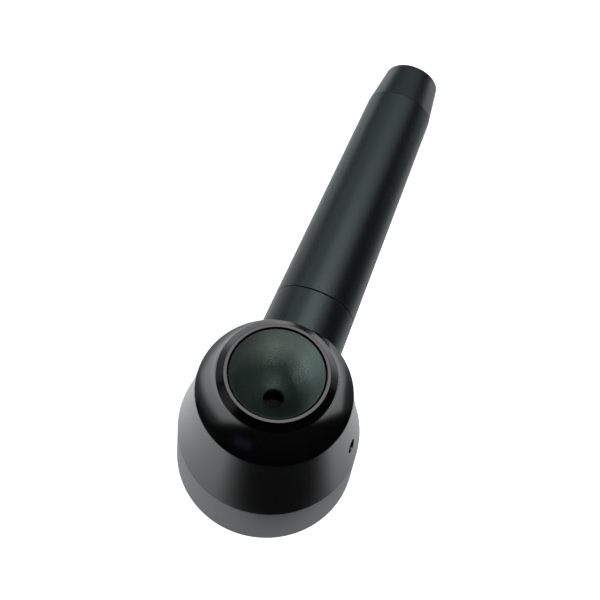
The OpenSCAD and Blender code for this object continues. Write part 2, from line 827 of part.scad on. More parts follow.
module tail_cap() {
    edge = blend(barrel_end_r, tail_end_r, (tail_l - tail_round) / tail_l);
    color("#262c2b") difference() {
        handle_turned(concat(
            [
                [0, cap_floor_y],
                [cap_bore_r, cap_floor_y],
                [cap_bore_r, cap_spigot_y],
                [cap_spigot_r, cap_spigot_y],
                [cap_spigot_r, cap_y],
                [barrel_end_r - seam_bevel, cap_y],
                [barrel_end_r - taper * seam_bevel, cap_y + seam_bevel]
            ],
            [for (i = [0:round_steps]) let (a = 90 * i / round_steps)
                [edge - tail_round * (1 - cos(a)), tail_end_y - tail_round * (1 - sin(a))]],
            [[0, tail_end_y]]
        ));
        handle_ring(tail_seal_y - groove_w / 2, tail_seal_y + groove_w / 2,
                    cap_spigot_r + cut_over, cap_spigot_r - seal_d - groove_play);
    }
}

module tail_seal() {
    color("#141414") on_handle() translate([0, 0, tail_seal_y]) seal(cap_spigot_r);
}

module tail_contact() {
    color("#c0c2c4") handle_bar(disc_y, disc_y + disc_t, disc_d / 2);
}

// The spring is one helical wire: a ring of points is carried along the helix and its ends are closed
module tail_spring() {
    sides = 8;
    rings_per_turn = 10;
    steps = rings_per_turn * spring_turns;
    wire_r = spring_wire_d / 2;
    low = cells_end_y + face_gap + wire_r;
    high = disc_y - wire_r;
    echo(spring_gap = (high - low) / spring_turns - spring_wire_d);
    points = [for (i = [0:steps]) let (a = 360 * spring_turns * i / steps, y = blend(low, high, i / steps))
        for (k = [0:sides - 1]) let (b = 360 * k / sides, r = spring_d / 2 + wire_r * cos(b))
            [r * cos(a), r * sin(a), y + wire_r * sin(b)]];
    walls = [for (i = [0:steps - 1], k = [0:sides - 1]) let (
            p = i * sides + k,
            q = i * sides + (k + 1) % sides)
        for (face = [[p, p + sides, q], [q, p + sides, q + sides]]) face];
    ends = [for (k = [1:sides - 2]) for (face = [
        [0, k, k + 1],
        [steps * sides, steps * sides + k + 1, steps * sides + k]]) face];
    color("#c0c2c4") on_handle() polyhedron(points, concat(walls, ends));
}

base_ring();
bell_body();
eyepiece_ring();
eye_cup();
lens_cell();
eyepiece_lens();
lens_retainer();
optic_carrier();
lamp_board();
lamps();
board_screws();
ring_cone();
ring_bands();
grub_screw();
base_seal();
feed_wire();
return_wire();
neck_collar();
snap_ring();
twist_seal();
contact_carrier();
contact_pin();
switch_track();
barrel();
cell_sleeve();
cells();
wiper_ring();
tail_cap();
tail_seal();
tail_contact();
tail_spring();
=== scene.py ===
"""Looks of a hand-held keratoscope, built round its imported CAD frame.

The turned shells that show (base ring, bell, eyepiece ring, eye cup, neck, barrel and tail cap), the grub
screw and the tail spring are modelled here and stand for their CAD nodes. The other pieces keep their CAD
meshes and get their finishes here. Sizes are in millimetres and meshes in metres, in the frame's own axes:
the head stands on +Z and the handle lies along +Y.
"""

import logging
import math
from collections.abc import Sequence
from dataclasses import dataclass
from enum import Enum

import bmesh
import bpy
from bpy.types import Material, Node, NodeSocket, NodeTree, Object
from mathutils import Matrix, Vector


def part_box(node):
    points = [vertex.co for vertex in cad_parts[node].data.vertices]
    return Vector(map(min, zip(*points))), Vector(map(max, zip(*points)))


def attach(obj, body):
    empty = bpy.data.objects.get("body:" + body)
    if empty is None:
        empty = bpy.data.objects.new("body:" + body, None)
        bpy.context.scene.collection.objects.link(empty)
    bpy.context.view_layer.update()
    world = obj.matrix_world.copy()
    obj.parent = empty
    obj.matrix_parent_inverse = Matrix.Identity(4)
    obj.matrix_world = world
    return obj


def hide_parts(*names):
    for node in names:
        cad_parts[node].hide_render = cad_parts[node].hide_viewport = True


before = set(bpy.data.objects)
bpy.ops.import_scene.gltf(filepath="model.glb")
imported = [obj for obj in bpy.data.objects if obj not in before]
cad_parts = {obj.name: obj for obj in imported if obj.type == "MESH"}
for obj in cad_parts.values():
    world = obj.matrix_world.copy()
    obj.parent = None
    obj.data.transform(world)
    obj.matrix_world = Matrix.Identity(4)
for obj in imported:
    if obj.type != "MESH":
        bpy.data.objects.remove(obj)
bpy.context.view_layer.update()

MM = 0.001
# Millimetres within which a vertex counts as lying on its ring
PLACE_TOLERANCE = 0.002
# Edges that turn by less than this are shaded smooth
SMOOTH_ANGLE = math.radians(38)
# Waves of Blender's wave texture in one unit, at a scale of 1
WAVES_PER_UNIT = 20 / (2 * math.pi)

log = logging.getLogger("keratoscope")


class Axis(Enum):
    """The axis that a piece is turned round."""

    HEAD = "head"
    HANDLE = "handle"


class Body(Enum):
    """The moving bodies of the frame."""

    HEAD = "head"
    HANDLE = "handle"
    TAIL_CONTACT = "tail_contact"
    TAIL_CAP = "tail_cap"


def box_mm(node: str) -> tuple[Vector, Vector]:
    """Gives the corners of a CAD node in millimetres.

    Args:
        node: name of the CAD node.

    Returns:
        The lowest and the highest corner.
    """
    low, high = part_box(node)
    return low / MM, high / MM


def middle_mm(node: str) -> Vector:
    """Gives the middle of a CAD node in millimetres."""
    low, high = box_mm(node)
    return (low + high) / 2


HANDLE_Z = middle_mm("cells").z


def linear(colour: str) -> tuple[float, float, float, float]:
    """Turns an sRGB hex colour into linear values.

    Args:
        colour: a colour such as "#20242a".

    Returns:
        Red, green, blue and an alpha of 1.
    """
    channels = [int(colour[i:i + 2], 16) / 255 for i in (1, 3, 5)]
    return (*(c / 12.92 if c <= 0.04045 else ((c + 0.055) / 1.055) ** 2.4 for c in channels), 1.0)


def add_node(tree: NodeTree, kind: str, settings: dict[str, object] | None = None,
             inputs: dict[str | int, object] | None = None) -> Node:
    """Adds one shader node with its settings and links.

    Args:
        tree: the node tree that takes the node.
        kind: Blender's type name of the node.
        settings: attributes of the node by name.
        inputs: values, or sockets to link, by the input's name or number.

    Returns:
        The new node.
    """
    node = tree.nodes.new(kind)
    for name, value in (settings or {}).items():
        setattr(node, name, value)
    for name, value in (inputs or {}).items():
        if isinstance(value, NodeSocket):
            tree.links.new(value, node.inputs[name])
        else:
            node.inputs[name].default_value = value
    return node


def deselect_all() -> None:
    """Deselects every object, so that an operator acts on new pieces alone."""
    bpy.ops.object.select_all(action="DESELECT")


def take_new(name: str) -> Object:
    """Names the object that an operator has just added, and gives it."""
    bpy.context.object.name = bpy.context.object.data.name = name
    return bpy.context.object


def make_active(piece: Object) -> None:
    """Selects one object alone and makes it the active one.

    Args:
        piece: the object.
    """
    deselect_all()
    piece.select_set(True)
    bpy.context.view_layer.objects.active = piece


def apply_modifier(piece: Object, kind: str, **settings: object) -> None:
    """Adds a modifier to a piece and applies it.

    Args:
        piece: the object that takes the modifier.
        kind: Blender's type name of the modifier.
        settings: attributes of the modifier by name.
    """
    make_active(piece)
    bpy.ops.object.modifier_add(type=kind)
    modifier = piece.modifiers[-1]
    for name, value in settings.items():
        setattr(modifier, name, value)
    bpy.ops.object.modifier_apply(modifier=modifier.name)


def cut_away(piece: Object, cutter: Object, keep: bool = False) -> None:
    """Cuts one mesh out of another.

    Args:
        piece: the mesh that is cut.
        cutter: the mesh that is taken away.
        keep: whether the cutter stays in the scene.
    """
    apply_modifier(piece, "BOOLEAN", operation="DIFFERENCE", solver="EXACT", object=cutter)
    if not keep:
        make_active(cutter)
        bpy.ops.object.delete()


def smooth(piece: Object) -> None:
    """Shades a piece smooth between its sharp edges, with flat faces kept flat.

    Args:
        piece: the finished mesh.
    """
    make_active(piece)
    bpy.ops.object.shade_smooth_by_angle(angle=SMOOTH_ANGLE)
    apply_modifier(piece, "WEIGHTED_NORMAL", keep_sharp=True, weight=100)


def face_outwards(piece: Object) -> None:
    """Turns all faces of a closed mesh outwards.

    Args:
        piece: the closed mesh.
    """
    make_active(piece)
    bpy.ops.object.mode_set(mode="EDIT")
    bpy.ops.mesh.select_all(action="SELECT")
    bpy.ops.mesh.normals_make_consistent(inside=False)
    bpy.ops.object.mode_set(mode="OBJECT")


def keep_place(piece: Object) -> None:
    """Puts a piece's place and turn into its mesh, and its object at the origin."""
    make_active(piece)
    bpy.ops.object.transform_apply(location=True, rotation=True, scale=True)


def lay_on_handle(piece: Object) -> None:
    """Lays a piece that was made upright on the handle's axis.

    Args:
        piece: the upright mesh.
    """
    piece.rotation_euler = (-math.pi / 2, 0, 0)
    piece.location = (0, 0, HANDLE_Z * MM)
    keep_place(piece)


@dataclass(frozen=True)
class Station:
    """One ring of a turned profile.

    Attributes:
        radius: distance from the axis, where 0 is a pole.
        height: distance along the axis.
        rounding: how far the rounding of this ring's edge reaches along its two faces.
    """

    radius: float
    height: float
    rounding: float = 0.0


def arc(start: Station, end: Station, sag: float, steps: int) -> list[Station]:
    """Gives the rings between two stations on a round stretch of a profile.

    Args:
        start: the station where the stretch starts.
        end: the station where it ends.
        sag: height of the arc over its chord, positive to the right of the way from start to end.
        steps: number of straight steps that the arc is drawn with.

    Returns:
        The stations between the two ends, without the ends.
    """
    a, b = Vector((start.radius, start.height)), Vector((end.radius, end.height))
    chord = b - a
    right = Vector((chord.y, -chord.x)).normalized()
    arc_r = (chord.length_squared / 4 + sag * sag) / (2 * sag)
    centre = (a + b) / 2 + right * (sag - arc_r)
    turn = (a - centre).angle_signed(b - centre)
    points = [centre + Matrix.Rotation(-turn * i / steps, 2) @ (a - centre) for i in range(1, steps)]
    return [Station(p.x, p.y) for p in points]


def groove(face_r: float, depth: float, start: float, end: float) -> list[Station]:
    """Gives the rings of a square groove across a turned face.

    Args:
        face_r: radius of the face.
        depth: how far the groove goes in towards the axis, or outwards where it is negative.
        start: height of the wall that the profile meets first.
        end: height of the other wall.

    Returns:
        The four stations of the groove.
    """
    floor_r = face_r - depth
    return [Station(face_r, start), Station(floor_r, start), Station(floor_r, end), Station(face_r, end)]


@dataclass
class TurnedPiece:
    """A piece made on a lathe: rings that are extruded along a profile.

    Attributes:
        name: name of the piece.
        stations: the profile, as a closed loop or from pole to pole.
        axis: the axis that the piece is turned round.
        segments: number of faces round the axis.
        rounding_steps: faces across each rounded edge.
    """

    name: str
    stations: Sequence[Station]
    axis: Axis
    segments: int = 192
    rounding_steps: int = 3

    def build(self) -> Object:
        """Turns the profile, rounds its edges and puts the piece on its axis.

        Returns:
            The finished mesh object, at the origin.
        """
        has_poles = self.stations[0].radius == 0
        rings = self.stations[1:] if has_poles else self.stations
        deselect_all()
        bpy.ops.mesh.primitive_circle_add(vertices=self.segments, radius=rings[0].radius * MM)
        piece = take_new(self.name)
        bpy.ops.object.mode_set(mode="EDIT")
        bpy.ops.mesh.select_mode(type="EDGE")
        bpy.ops.mesh.select_all(action="SELECT")
        bpy.ops.transform.translate(value=(0, 0, rings[0].height * MM))
        for last, ring in zip(rings, rings[1:]):
            self._extrude(last, ring)
        bpy.ops.mesh.select_all(action="DESELECT")
        bpy.ops.mesh.select_non_manifold()
        if has_poles:
            self._extrude(rings[0], self.stations[0])
        else:
            bpy.ops.mesh.bridge_edge_loops()
        for ring in rings:
            if ring.rounding:
                self._round(piece, ring)
        bpy.ops.object.mode_set(mode="OBJECT")
        face_outwards(piece)
        if self.axis is Axis.HANDLE:
            lay_on_handle(piece)
        return piece

    def _extrude(self, last: Station, ring: Station) -> None:
        """Extrudes the selected ring to the next station, or closes it at a pole.

        Args:
            last: the station that is selected.
            ring: the station that follows.
        """
        rise = (0, 0, (ring.height - last.height) * MM)
        bpy.ops.mesh.extrude_edges_move(TRANSFORM_OT_translate={"value": rise})
        if ring.radius == 0:
            bpy.ops.mesh.merge(type="CENTER")
            return
        scale = ring.radius / last.radius
        bpy.ops.transform.resize(value=(scale, scale, 1), center_override=(0, 0, ring.height * MM))

    def _round(self, piece: Object, ring: Station) -> None:
        """Rounds the edge at one station.

        Args:
            piece: the mesh, in edit mode.
            ring: the station whose edge is rounded.
        """
        bpy.ops.mesh.select_all(action="DESELECT")
        mesh = bmesh.from_edit_mesh(piece.data)
        for edge in mesh.edges:
            if all(abs(v.co.xy.length / MM - ring.radius) < PLACE_TOLERANCE
                   and abs(v.co.z / MM - ring.height) < PLACE_TOLERANCE for v in edge.verts):
                edge.select_set(True)
        bmesh.update_edit_mesh(piece.data)
        bpy.ops.mesh.bevel(offset=ring.rounding * MM, segments=self.rounding_steps, affect="EDGES")


@dataclass(frozen=True)
class Finish:
    """A surface with a fine grain, a slow drift of tone and, where it was turned, tool lines.

    Attributes:
        name: name of the material, for what the real one is.
        slot: the record's material slot; not used.
        colour: main colour.
        tint: colour that the main one drifts to.
        roughness: mean roughness.
        spread: how far the grain moves the roughness either way.
        ior: refractive index.
        shine: tint of the surface's own shine.
        metallic: 1 for bare metal.
        grain_mm: size of the grain.
        grain_depth_mm: depth of the grain.
        drift_mm: size of the patches of tone.
        lines_mm: spacing of the tool lines, or 0.
        lines_depth_mm: depth of the tool lines, which go round the head's axis.
    """

    name: str
    slot: str
    colour: str
    tint: str
    roughness: float
    spread: float = 0.05
    ior: float = 1.5
    shine: str = "#ffffff"
    metallic: float = 0.0
    grain_mm: float = 0.5
    grain_depth_mm: float = 0.004
    drift_mm: float = 14.0
    lines_mm: float = 0.0
    lines_depth_mm: float = 0.002

    def build(self) -> Material:
        """Makes the material.

        Returns:
            The new material.
        """
        material = bpy.data.materials.new(self.name)
        material.use_nodes = True
        tree = material.node_tree
        shader = tree.nodes["Principled BSDF"]
        shader.inputs["IOR"].default_value = self.ior
        shader.inputs["Metallic"].default_value = self.metallic
        shader.inputs["Specular Tint"].default_value = linear(self.shine)
        place = add_node(tree, "ShaderNodeTexCoord")
        drift = add_node(tree, "ShaderNodeTexNoise", inputs={
            "Vector": place.outputs["Object"], "Scale": 1 / (self.drift_mm * MM), "Detail": 2.0})
        grain = add_node(tree, "ShaderNodeTexNoise", inputs={
            "Vector": place.outputs["Object"], "Scale": 1 / (self.grain_mm * MM), "Detail": 2.0})
        tone = add_node(tree, "ShaderNodeMix", {"data_type": "RGBA"}, {
            0: drift.outputs["Fac"], 6: linear(self.colour), 7: linear(self.tint)})
        gloss = add_node(tree, "ShaderNodeMapRange", inputs={
            "Value": grain.outputs["Fac"], "To Min": self.roughness - self.spread,
            "To Max": self.roughness + self.spread})
        bump = add_node(tree, "ShaderNodeBump", inputs={
            "Height": grain.outputs["Fac"], "Distance": self.grain_depth_mm * MM})
        if self.lines_mm:
            lines = add_node(tree, "ShaderNodeTexWave", {"wave_type": "BANDS", "bands_direction": "Z"}, {
                "Vector": place.outputs["Object"], "Scale": 1 / (self.lines_mm * MM * WAVES_PER_UNIT),
                "Distortion": 0.4, "Detail": 2.0})
            bump = add_node(tree, "ShaderNodeBump", inputs={
                "Height": lines.outputs["Fac"], "Distance": self.lines_depth_mm * MM,
                "Normal": bump.outputs["Normal"]})
        tree.links.new(tone.outputs[2], shader.inputs["Base Color"])
        tree.links.new(gloss.outputs["Result"], shader.inputs["Roughness"])
        tree.links.new(bump.outputs["Normal"], shader.inputs["Normal"])
        return material


@dataclass(frozen=True)
class ClearFinish(Finish):
    """Clear or translucent stuff: glass and opal plastic.

    Attributes:
        transmission: share of light that goes through.
    """

    transmission: float = 1.0

    def build(self) -> Material:
        """Makes the material.

        Returns:
            The new material.
        """
        material = super().build()
        shader = material.node_tree.nodes["Principled BSDF"]
        shader.inputs["Transmission Weight"].default_value = self.transmission
        return material


# The grain and the tool rings of these finishes are drawn 0.5 to 0.7 mm wide, because real pits, mould grain
# and rings are too fine to show. On anodised aluminium the oxide skin meets the eye, so it isn't metallic.

# Black hard-anodised aluminium, fine turned: a dark satin oxide skin that mirrors the room softly
BELL_SATIN = Finish("satin_anodised_aluminium", "bell_black", "#010102", "#020203", roughness=0.2,
                    spread=0.02, ior=1.6, grain_depth_mm=0.0002, lines_mm=0.6, lines_depth_mm=0.0002)
# Grey anodised aluminium, bead blasted: the pitted oxide skin scatters the floor's light into an even grey
BASE_BLASTED = Finish("blasted_anodised_aluminium", "ring_grey", "#3b3b3e", "#3f3f42", roughness=0.38,
                      ior=1.46, grain_mm=0.6, grain_depth_mm=0.04)
# Anodised aluminium with a green-black dye, bead blasted: a soft broad highlight along the grip
HANDLE_BLASTED = Finish("green_black_anodised_aluminium", "handle_black", "#080d0c", "#0a100f",
                        roughness=0.35, ior=1.6, shine="#e4fffc", grain_mm=0.6, grain_depth_mm=0.06)
# Moulded rubber: green-black and dull, with soft patches of light down its funnel and a fine mould grain
CUP_RUBBER = Finish("moulded_dull_rubber", "cup_black", "#0a0e0d", "#0e1211", roughness=0.5, spread=0.08,
                    shine="#dffff6", grain_mm=0.6, grain_depth_mm=0.13, drift_mm=6.0)
# Machined aluminium, clear anodised: pale grey with tool rings
MACHINED = Finish("machined_aluminium", "machined", "#8e9296", "#a2a6aa", roughness=0.35, metallic=1.0,
                  lines_mm=0.5, lines_depth_mm=0.003)
# Black-anodised aluminium inside the optics: matt, so that no stray light comes back
INNER_BLACK = Finish("optical_black_aluminium", "machined", "#060606", "#090909", roughness=0.6)
# Crown glass, polished and coated: clear, with hardly a reflection and a trace of dust in its gloss
LENS_GLASS = ClearFinish("coated_crown_glass", "lens_glass", "#f4faf8", "#fbfdfc", roughness=0.02,
                         spread=0.01, ior=1.52, shine="#0c0c0c", grain_depth_mm=0.0)
# Opal acrylic, moulded: milky white that lets the lamps' light through
CONE_OPAL = ClearFinish("opal_acrylic", "cone_white", "#e6e9ea", "#eff1f1", roughness=0.3, ior=1.49,
                        transmission=0.25)
# Screen-printed ink: dense matt black
BAND_INK = Finish("printed_black_ink", "ring_ink", "#0a0a0b", "#0e0e0f", roughness=0.55)
# Glass-fibre board with green solder mask: slightly glossy, weave showing through
LAMP_BOARD = Finish("green_masked_board", "board_green", "#174a30", "#1f5a3a", roughness=0.35, grain_mm=0.7,
                    grain_depth_mm=0.01)
# Lamp resin over phosphor: pale yellow, glossy
LAMP_RESIN = Finish("phosphor_resin", "lamp_yellow", "#e9dc9a", "#f4eabb", roughness=0.2)
# Zinc-plated and spring steel: cool bright metal
STEEL = Finish("plated_steel", "steel", "#a9acb0", "#bcbfc3", roughness=0.3, metallic=1.0,
               grain_depth_mm=0.002)
# Black-oxide steel: dark oiled skin on the grub screw
BLACK_STEEL = Finish("black_oxide_steel", "black_steel", "#3a3d40", "#4a4d50", roughness=0.35, metallic=1.0)
# Turned brass: warm yellow contact metal
BRASS = Finish("turned_brass", "brass", "#b98f3e", "#cfa852", roughness=0.28, metallic=1.0)
# Nitrile rubber: deep black, slightly dusty
SEAL_RUBBER = Finish("nitrile_rubber", "seal_rubber", "#101011", "#18181a", roughness=0.6)
# Red and black PVC wire jackets: smooth and slightly waxy
WIRE_RED = Finish("red_wire_jacket", "wire_red", "#8e1b1b", "#a32424", roughness=0.4)
WIRE_BLACK = Finish("black_wire_jacket", "wire_black", "#141415", "#1c1c1e", roughness=0.4)
# Acetal: cream insulating plastic
ACETAL = Finish("cream_acetal", "insulator", "#cfc9ba", "#dcd7c9", roughness=0.4)
# Printed shrink sleeve of a dry cell: copper-coloured film
CELL_FILM = Finish("copper_cell_film", "cell_wrap", "#a8762f", "#bb8a40", roughness=0.3, metallic=0.5)
# Painted table, lit from below: an even pale floor without shine
WHITE_TABLE = Finish("white_table", "", "#bcbcbc", "#bcbcbc", roughness=0.9, grain_depth_mm=0.0)
# Painted shadow under the head's mouth: dull black, so that hardly any light comes back
PAINTED_SHADOW_BLACK = Finish("painted_shadow_black", "", "#020202", "#040404", roughness=0.9)


class Workshop:
    """Keeps each finish's material and hands pieces over to the frame."""

    def __init__(self) -> None:
        """Starts with no material made."""
        self._materials: dict[Finish, Material] = {}

    def material(self, finish: Finish) -> Material:
        """Gives a finish's material, made at its first use.

        Args:
            finish: the finish.

        Returns:
            Its one material.
        """
        if finish not in self._materials:
            self._materials[finish] = finish.build()
        return self._materials[finish]

    def hand_over(self, piece: Object, finish: Finish, body: Body, node: str) -> None:
        """Finishes a new piece, which stands for a CAD node from then on.

        Args:
            piece: the modelled piece.
            finish: its finish.
            body: the body that it moves with.
            node: the CAD node that it stands for.
        """
        smooth(piece)
        piece.data.materials.clear()
        piece.data.materials.append(self.material(finish))
        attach(piece, body.value)
        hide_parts(node)
        log.info("%s stands for %s, %d faces", piece.name, node, len(piece.data.polygons))

    def dress(self, node: str, finish: Finish) -> None:
        """Gives a CAD node its finish.

        Args:
            node: the CAD node.
            finish: its finish.
        """
        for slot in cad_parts[node].material_slots:
            slot.material = self.material(finish)
        log.info("%s dressed in %s", node, finish.name)


@dataclass
class Head:
    """The head: base ring, bell, eyepiece ring, eye cup and grub screw.

    Attributes are the sizes that the frame's boxes don't give, in millimetres, where _r is a radius, _t a
    thickness, _w a width, _h a height and _l a length. seam_drop is how far the seam of base ring and bell
    shows below the CAD seam, and ring_bore_r makes the gap round the cup narrower than the CAD gap.
    """

    lip_r: float = 27.3
    lip_t: float = 2.0
    base_in_r: float = 29.0
    base_taper: float = 0.4
    base_rounding: float = 0.45
    seam_drop: float = 1.0
    spigot_r: float = 30.5
    groove_w: float = 1.4
    groove_depth: float = 1.25
    fit: float = 0.05
    shoulder_r: float = 28.5
    bell_h: float = 33.7
    skirt_sag: float = 0.45
    shoulder_rounding: float = 0.22
    edge_rounding: float = 0.12
    cove_arc_r: float = 23.0
    cup_seat_r: float = 19.6
    cup_ledge_r: float = 16.2
    cup_ledge_t: float = 3.0
    upper_bore_r: float = 24.0
    neck_bore_r: float = 9.05
    grub_hole_r: float = 2.8
    drill_over: float = 2.0
    land_w: float = 1.3
    land_rounding: float = 0.25
    ring_edge_h: float = 0.3
    ring_bore_r: float = 17.4
    ring_spigot_r: float = 19.55
    cup_rim_r: float = 16.8
    cup_rim_drop: float = 0.15
    cup_rim_rounding: float = 0.3
    cup_sag: float = 2.0
    cup_boss_r: float = 8.0
    cup_flange_t: float = 2.0
    cup_floor: float = 1.0
    peephole_r: float = 3.7
    peephole_rounding: float = 0.35
    grub_socket_r: float = 1.44
    grub_socket_depth: float = 2.0

    def build(self, shop: Workshop) -> Object:
        """Builds the pieces of the head.

        Args:
            shop: the workshop that finishes them.

        Returns:
            The bell, which the neck is fitted to.
        """
        shop.hand_over(self._base_ring(), BASE_BLASTED, Body.HEAD, "base_ring")
        bell = self._bell()
        shop.hand_over(bell, BELL_SATIN, Body.HEAD, "bell_body")
        shop.hand_over(self._eyepiece_ring(), BELL_SATIN, Body.HEAD, "eyepiece_ring")
        shop.hand_over(self._eye_cup(), CUP_RUBBER, Body.HEAD, "eye_cup")
        shop.hand_over(self._grub_screw(), BLACK_STEEL, Body.HEAD, "grub_screw")
        return bell

    def _base_ring(self) -> Object:
        """Turns the base ring with its lip, screwed spigot and seal groove.

        Returns:
            The base ring.
        """
        high = box_mm("base_ring")[1]
        seam = box_mm("bell_body")[0].z - self.seam_drop
        seal_z, half_w = middle_mm("base_seal").z, self.groove_w / 2
        return TurnedPiece("foot_ring", [
            Station(self.lip_r, 0, self.edge_rounding),
            Station(high.x, 0, self.base_rounding),
            Station(high.x - self.base_taper, seam, self.base_rounding),
            Station(self.spigot_r, seam),
            *groove(self.spigot_r, self.groove_depth, seal_z - half_w, seal_z + half_w),
            Station(self.spigot_r, high.z, self.edge_rounding),
            Station(self.base_in_r, high.z, self.edge_rounding),
            Station(self.base_in_r, self.lip_t),
            Station(self.lip_r, self.lip_t, self.edge_rounding),
        ], Axis.HEAD).build()

    def _bell(self) -> Object:
        """Turns the bell with its shoulder and hollow cove, and bores it for the neck and the grub screw.

        Returns:
            The bell.
        """
        low, high = box_mm("bell_body")
        carrier = box_mm("optic_carrier")[1]
        spigot_top = box_mm("base_ring")[1].z + self.fit
        cup_bottom, ledge = box_mm("eye_cup")[0].z, box_mm("eyepiece_ring")[0].z - self.cup_flange_t
        seam = low.z - self.seam_drop
        foot = Station(high.x, seam, self.edge_rounding)
        shoulder = Station(self.shoulder_r, low.z + self.bell_h, self.shoulder_rounding)
        cove_top = Station(box_mm("eyepiece_ring")[1].x, high.z, self.edge_rounding)
        chord = math.hypot(shoulder.radius - cove_top.radius, shoulder.height - cove_top.height)
        sag = self.cove_arc_r - math.sqrt(self.cove_arc_r ** 2 - chord ** 2 / 4)
        bell = TurnedPiece("bell_shell", [
            foot,
            *arc(foot, shoulder, -self.skirt_sag, steps=12),
            shoulder,
            *arc(shoulder, cove_top, -sag, steps=20),
            cove_top,
            Station(self.cup_seat_r, high.z),
            Station(self.cup_seat_r, ledge),
            Station(self.cup_ledge_r, ledge),
            Station(self.cup_ledge_r, ledge - self.cup_ledge_t),
            Station(self.upper_bore_r, cup_bottom),
            Station(self.upper_bore_r, carrier.z),
            Station(carrier.x + self.fit, carrier.z),
            Station(carrier.x + self.fit, spigot_top),
            Station(self.spigot_r + self.fit, spigot_top),
            Station(self.spigot_r + self.fit, seam),
        ], Axis.HEAD, segments=256).build()
        self._bore(bell, self.neck_bore_r, high.x, (0, 1, 0), HANDLE_Z)
        self._bore(bell, self.grub_hole_r, high.x, (1, 0, 0), middle_mm("grub_screw").z)
        return bell

    def _bore(self, piece: Object, radius: float, length: float, way: tuple[int, int, int],
              height: float) -> None:
        """Drills a hole from the head's axis out through the wall.

        Args:
            piece: the mesh that is drilled.
            radius: radius of the hole.
            length: distance from the axis that the drill passes.
            way: direction of the hole.
            height: height of the hole's axis.
        """
        centre = (Vector(way) * length / 2 + Vector((0, 0, height))) * MM
        turn = Vector((0, 0, 1)).rotation_difference(Vector(way)).to_euler()
        deselect_all()
        bpy.ops.mesh.primitive_cylinder_add(vertices=96, radius=radius * MM,
                                            depth=(length + self.drill_over) * MM, location=centre,
                                            rotation=turn)
        cut_away(piece, bpy.context.object)

    def _eyepiece_ring(self) -> Object:
        """Turns the bevelled ring with the flat land round the eye cup.

        Returns:
            The eyepiece ring.
        """
        low, high = box_mm("eyepiece_ring")
        seat = box_mm("bell_body")[1].z
        return TurnedPiece("eyepiece_bezel", [
            Station(self.ring_bore_r, low.z),
            Station(self.ring_spigot_r, low.z),
            Station(self.ring_spigot_r, seat),
            Station(high.x, seat, self.edge_rounding / 2),
            Station(high.x, seat + self.ring_edge_h, self.edge_rounding),
            Station(self.ring_bore_r + self.land_w, high.z, self.edge_rounding),
            Station(self.ring_bore_r, high.z, self.land_rounding),
        ], Axis.HEAD).build()

    def _eye_cup(self) -> Object:
        """Turns the deep cup with the peephole.

        Returns:
            The eye cup.
        """
        low, high = box_mm("eye_cup")
        flange = box_mm("eyepiece_ring")[0].z
        rim_z = high.z - self.cup_rim_drop
        rim = Station(self.cup_rim_r, rim_z, self.cup_rim_rounding)
        hole = Station(self.peephole_r, low.z + self.cup_floor, self.peephole_rounding)
        return TurnedPiece("eye_dish", [
            rim,
            *arc(rim, hole, -self.cup_sag, steps=24),
            hole,
            Station(self.peephole_r, low.z),
            Station(self.cup_boss_r, low.z),
            Station(self.cup_ledge_r - self.edge_rounding, flange - self.cup_flange_t),
            Station(high.x, flange - self.cup_flange_t),
            Station(high.x, flange),
            Station(self.cup_rim_r, flange),
        ], Axis.HEAD).build()

    def _grub_screw(self) -> Object:
        """Models the recessed screw with its hexagon socket.

        Returns:
            The grub screw.
        """
        low, high = box_mm("grub_screw")
        centre, length = middle_mm("grub_screw"), high.x - low.x
        turn = (0, math.pi / 2, 0)
        deselect_all()
        bpy.ops.mesh.primitive_cylinder_add(vertices=64, radius=(high.y - low.y) / 2 * MM, depth=length * MM,
                                            location=centre * MM, rotation=turn)
        screw = take_new("socket_grub_screw")
        keep_place(screw)
        deselect_all()
        socket_centre = Vector((high.x, centre.y, centre.z)) * MM
        bpy.ops.mesh.primitive_cylinder_add(vertices=6, radius=self.grub_socket_r * MM,
                                            depth=2 * self.grub_socket_depth * MM, location=socket_centre,
                                            rotation=turn)
        cut_away(screw, bpy.context.object)
        apply_modifier(screw, "BEVEL", width=self.edge_rounding * MM, segments=2, limit_method="ANGLE",
                       angle_limit=SMOOTH_ANGLE)
        return screw


